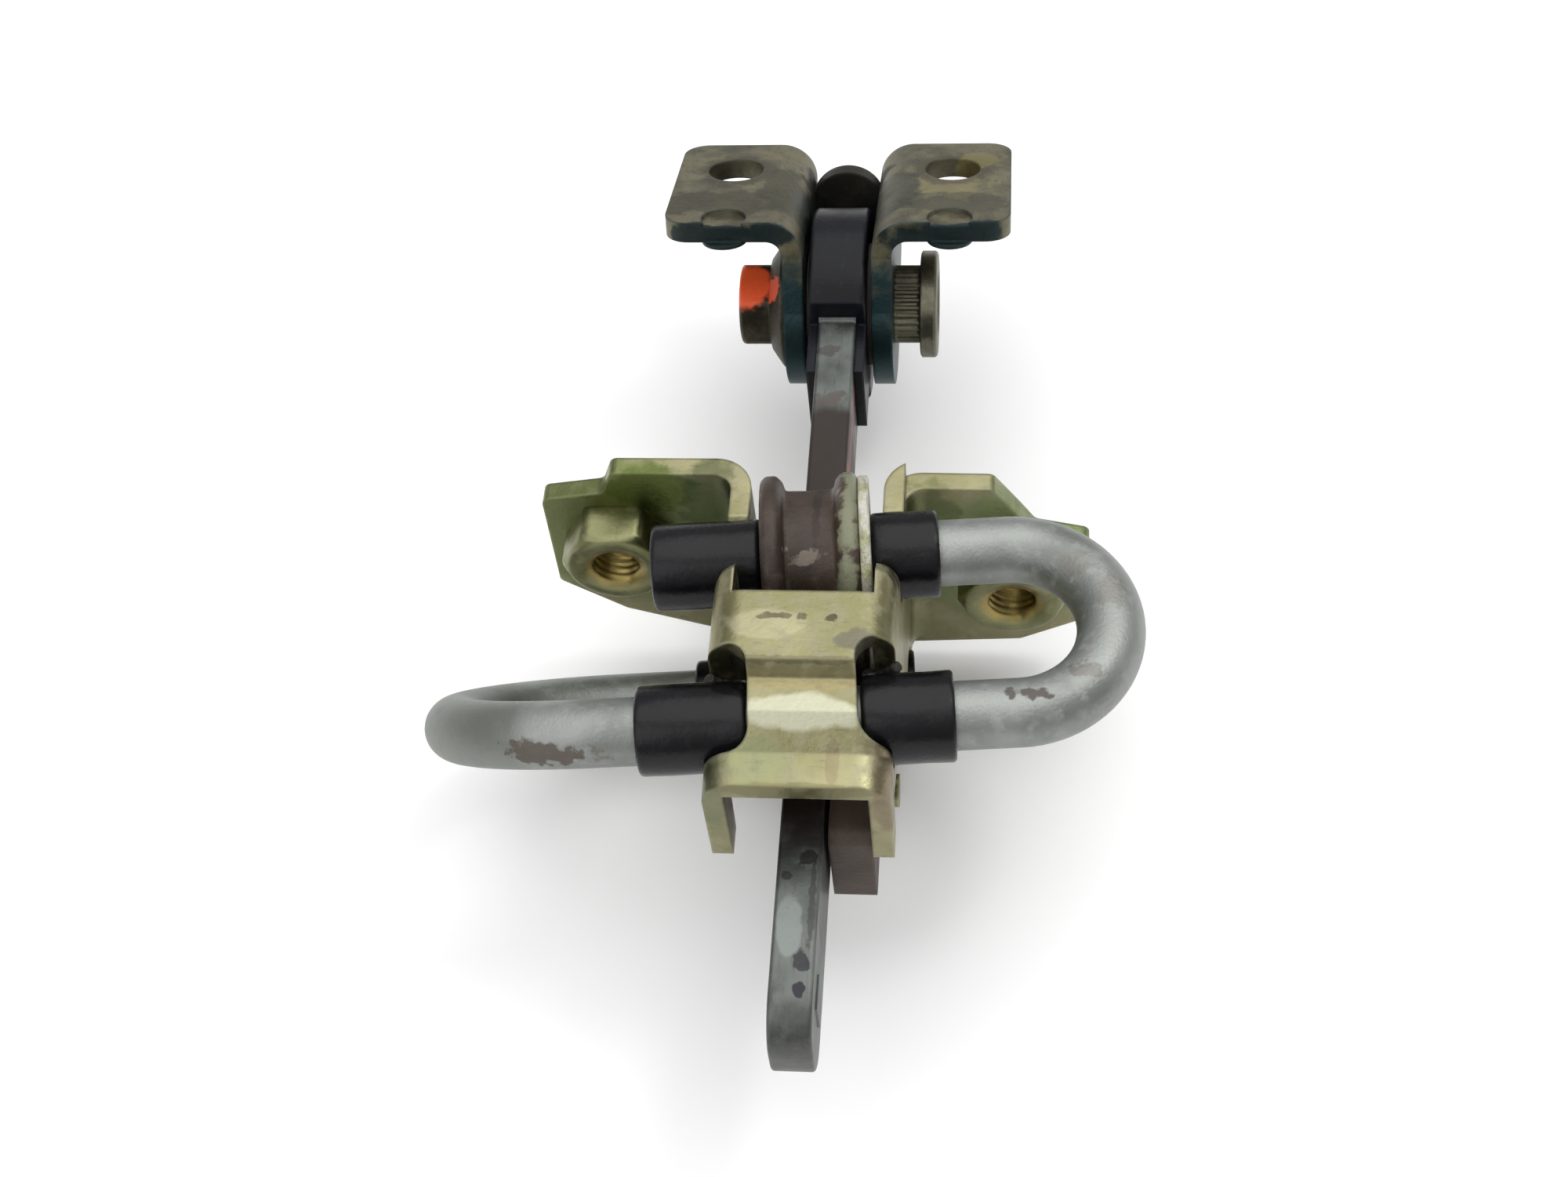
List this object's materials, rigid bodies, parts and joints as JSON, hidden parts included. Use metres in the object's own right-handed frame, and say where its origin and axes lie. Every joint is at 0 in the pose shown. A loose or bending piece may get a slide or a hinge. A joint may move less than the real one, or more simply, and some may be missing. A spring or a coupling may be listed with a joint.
{
  "type": "door check arm assembly",
  "caption": "Vehicle door check: a flat arm on a pillar clevis slides between two grooved rollers that a bent torsion rod presses onto it.",
  "frame": {"origin": "axis of the left door nut's thread on the nut seat face of the wing", "axes": "+Y along the door nuts' thread axis, from the holder towards the pillar clevis; +Z from the arm's lower edge to its upper edge; +X towards the right door nut"},
  "size_m": [0.104, 0.1612, 0.0608],
  "materials": {
    "zinc_olive": "olive chromated zinc, dull",
    "zinc_gold": "yellow chromated zinc",
    "arm_steel": "worn bare steel with grease",
    "rod_steel": "phosphated spring steel",
    "black_plastic": "moulded plastic",
    "black_rubber": "smooth rubber",
    "bush_plastic": "bearing plastic",
    "taupe_plastic": "greasy bearing plastic",
    "pale_washer": "worn washer"
  },
  "bodies": {
    "holder": {"holder_bracket": "zinc_gold", "door_nut_left": "zinc_gold", "door_nut_right": "zinc_gold", "torsion_rod": "rod_steel", "front_sleeve_left": "black_rubber", "front_sleeve_right": "black_rubber", "middle_sleeve_left": "black_rubber", "middle_sleeve_right": "black_rubber", "rear_sleeve_left": "black_rubber", "rear_sleeve_right": "black_rubber", "front_washer": "pale_washer", "rear_washer": "pale_washer", "guide_block": "taupe_plastic", "guide_rivet": "zinc_gold"},
    "arm": {"check_arm": "arm_steel", "arm_cover": "black_plastic", "pivot_bush_left": "bush_plastic", "pivot_bush_right": "bush_plastic"},
    "clevis": {"clevis_bracket": "zinc_olive", "pivot_pin": "zinc_olive", "pivot_bolt": "zinc_olive"},
    "front_wheel": {"front_roller": "taupe_plastic"},
    "rear_wheel": {"rear_roller": "taupe_plastic"}
  },
  "joints": [
    {"name": "arm_slide", "type": "slide", "parent": "holder", "child": "arm", "axis": [0, 1, 0], "range_m": [-0.034, 0.046]},
    {"name": "clevis_pivot", "type": "hinge", "parent": "arm", "child": "clevis", "pos_m": [0.0315, 0.051, -0.004], "axis": [1, 0, 0], "range_deg": [-68, 15]},
    {"name": "front_roller_spin", "type": "hinge", "parent": "holder", "child": "front_wheel", "pos_m": [0.0315, -0.0142, 0.0141], "axis": [0.9969, 0.0785, 0], "continuous": true},
    {"name": "rear_roller_spin", "type": "hinge", "parent": "holder", "child": "rear_wheel", "pos_m": [0.0315, -0.0142, -0.0221], "axis": [0.9969, 0.0785, 0], "continuous": true}
  ],
  "couplings": [
    {"joint": "front_roller_spin", "follows": "arm_slide", "rad_per_m": 101.01},
    {"joint": "rear_roller_spin", "follows": "arm_slide", "rad_per_m": -101.01}
  ]
}
